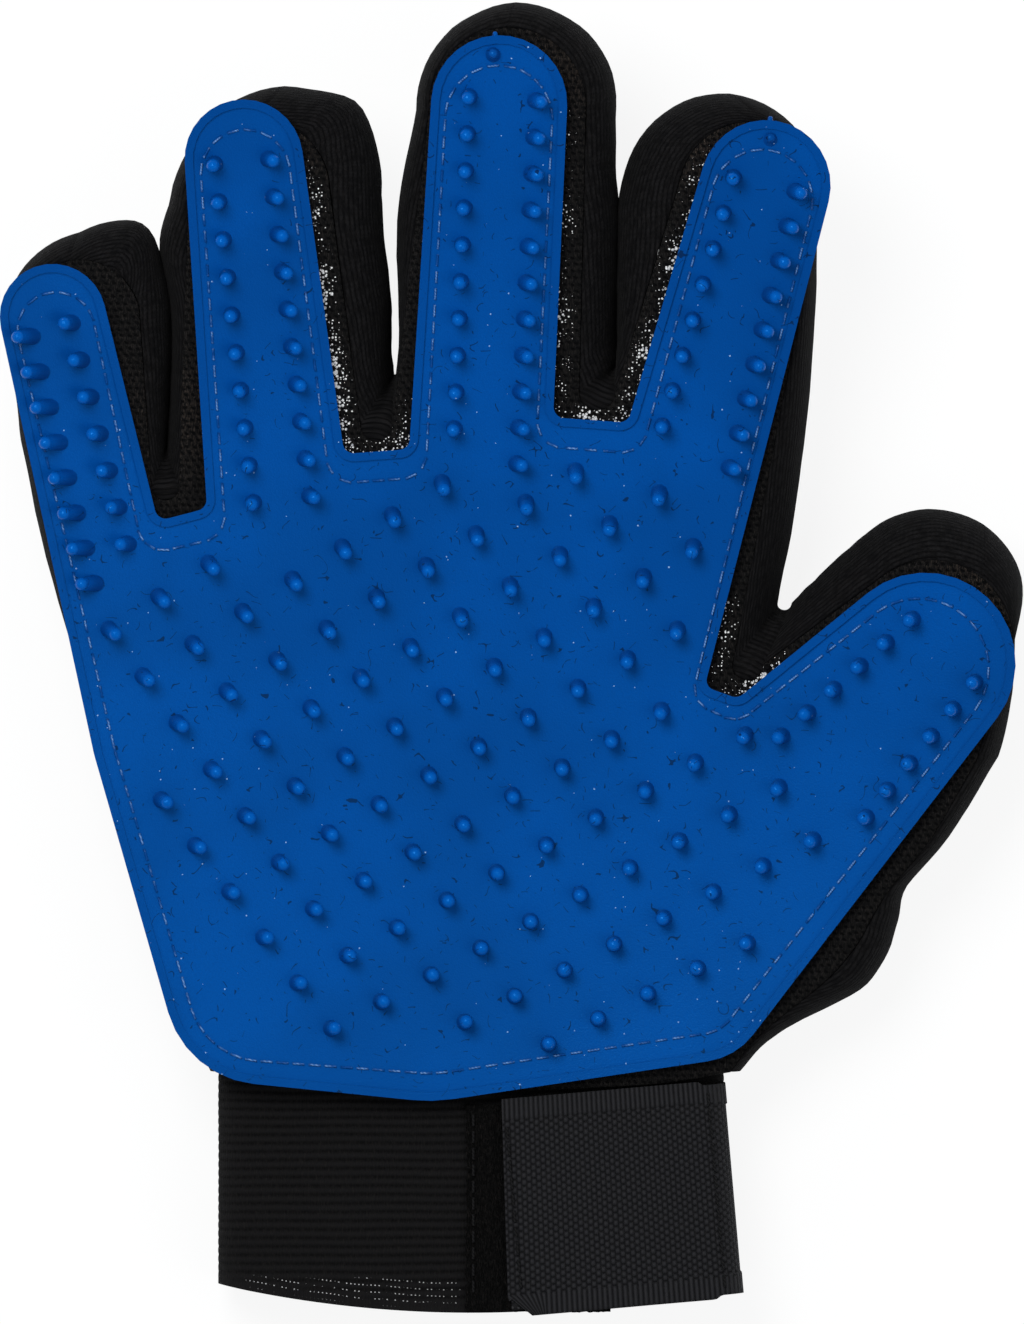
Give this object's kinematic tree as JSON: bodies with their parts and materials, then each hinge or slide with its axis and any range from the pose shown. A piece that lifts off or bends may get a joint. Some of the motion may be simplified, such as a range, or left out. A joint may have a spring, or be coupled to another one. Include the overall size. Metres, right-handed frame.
{
  "type": "pet grooming glove",
  "caption": "Right-hand grooming glove with a pinned blue silicone palm pad sewn to a black mesh glove, ribbed elastic cuff and hook-and-loop wrist strap.",
  "frame": {"origin": "middle of the bounding box in plan, on the surface the back of the glove rests on", "axes": "+X to the thumb side, +Y to the fingertips, +Z out of the palm"},
  "size_m": [0.1836, 0.2368, 0.0557],
  "materials": {
    "blue_silicone": "satin",
    "pale_thread": "matte",
    "open_mesh": "matte",
    "knit_fabric": "matte",
    "ribbed_elastic": "matte",
    "loop_pile": "matte",
    "hook_tape": "matte",
    "woven_strap": "matte",
    "dark_thread": "matte"
  },
  "bodies": {
    "glove": {"silicone_pad": "blue_silicone", "pad_stitching": "pale_thread", "palm_mesh": "open_mesh", "back_panel": "knit_fabric", "side_strip_little": "knit_fabric", "fourchette_little_ring": "knit_fabric", "fourchette_ring_middle": "knit_fabric", "fourchette_middle_index": "knit_fabric", "thumb_gusset": "knit_fabric", "side_strip_thumb": "knit_fabric", "cuff_elastic": "ribbed_elastic", "cuff_hem_stitching": "dark_thread", "loop_tape": "loop_pile", "loop_tape_stitching": "dark_thread", "strap_anchor": "woven_strap", "anchor_stitching": "dark_thread"},
    "strap": {"strap_web": "woven_strap", "strap_edge_stitching": "dark_thread", "hook_tape": "hook_tape"}
  },
  "joints": [
    {"name": "strap_peel", "type": "hinge", "parent": "glove", "child": "strap", "pos_m": [0.036, -0.0954, 0.02443], "axis": [-0.0872, 0.9962, 0], "range_deg": [0, 165]}
  ]
}
